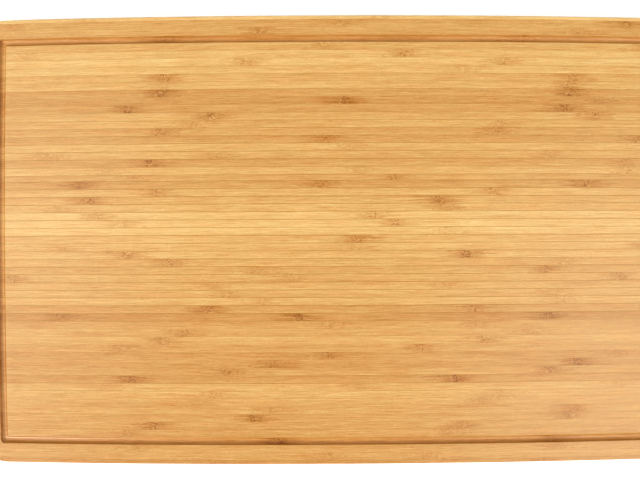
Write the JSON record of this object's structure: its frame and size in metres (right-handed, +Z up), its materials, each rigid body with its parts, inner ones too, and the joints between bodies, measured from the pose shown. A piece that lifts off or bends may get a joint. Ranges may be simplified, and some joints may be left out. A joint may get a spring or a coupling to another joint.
{
  "type": "cutting board",
  "caption": "Rectangular bamboo cutting board of edge-glued vertical-grain strips, with rounded corners, eased edges and a narrow juice groove near the rim.",
  "frame": {"origin": "centre of the underside, which is the face the board rests on", "axes": "+X along the strips, which is the board's length; +Y across the strips; +Z up, out of the grooved working face"},
  "size_m": [0.508, 0.3048, 0.019],
  "materials": {
    "bamboo": "satin oiled bamboo, edge grain, with darker growth nodes"
  },
  "bodies": {
    "root": {"strip_01": "bamboo", "strip_02": "bamboo", "strip_03": "bamboo", "strip_04": "bamboo", "strip_05": "bamboo", "strip_06": "bamboo", "strip_07": "bamboo", "strip_08": "bamboo", "strip_09": "bamboo", "strip_10": "bamboo", "strip_11": "bamboo", "strip_12": "bamboo", "strip_13": "bamboo", "strip_14": "bamboo", "strip_15": "bamboo", "strip_16": "bamboo", "strip_17": "bamboo", "strip_18": "bamboo", "strip_19": "bamboo", "strip_20": "bamboo", "strip_21": "bamboo", "strip_22": "bamboo", "strip_23": "bamboo", "strip_24": "bamboo", "strip_25": "bamboo", "strip_26": "bamboo", "strip_27": "bamboo", "strip_28": "bamboo", "strip_29": "bamboo", "strip_30": "bamboo", "strip_31": "bamboo", "strip_32": "bamboo", "strip_33": "bamboo", "strip_34": "bamboo", "strip_35": "bamboo", "strip_36": "bamboo", "strip_37": "bamboo", "strip_38": "bamboo", "strip_39": "bamboo", "strip_40": "bamboo", "strip_41": "bamboo", "strip_42": "bamboo", "strip_43": "bamboo", "strip_44": "bamboo", "strip_45": "bamboo", "strip_46": "bamboo", "strip_47": "bamboo", "strip_48": "bamboo", "strip_49": "bamboo", "strip_50": "bamboo", "strip_51": "bamboo", "strip_52": "bamboo", "strip_53": "bamboo", "strip_54": "bamboo", "strip_55": "bamboo", "strip_56": "bamboo", "strip_57": "bamboo", "strip_58": "bamboo", "strip_59": "bamboo"}
  },
  "joints": []
}
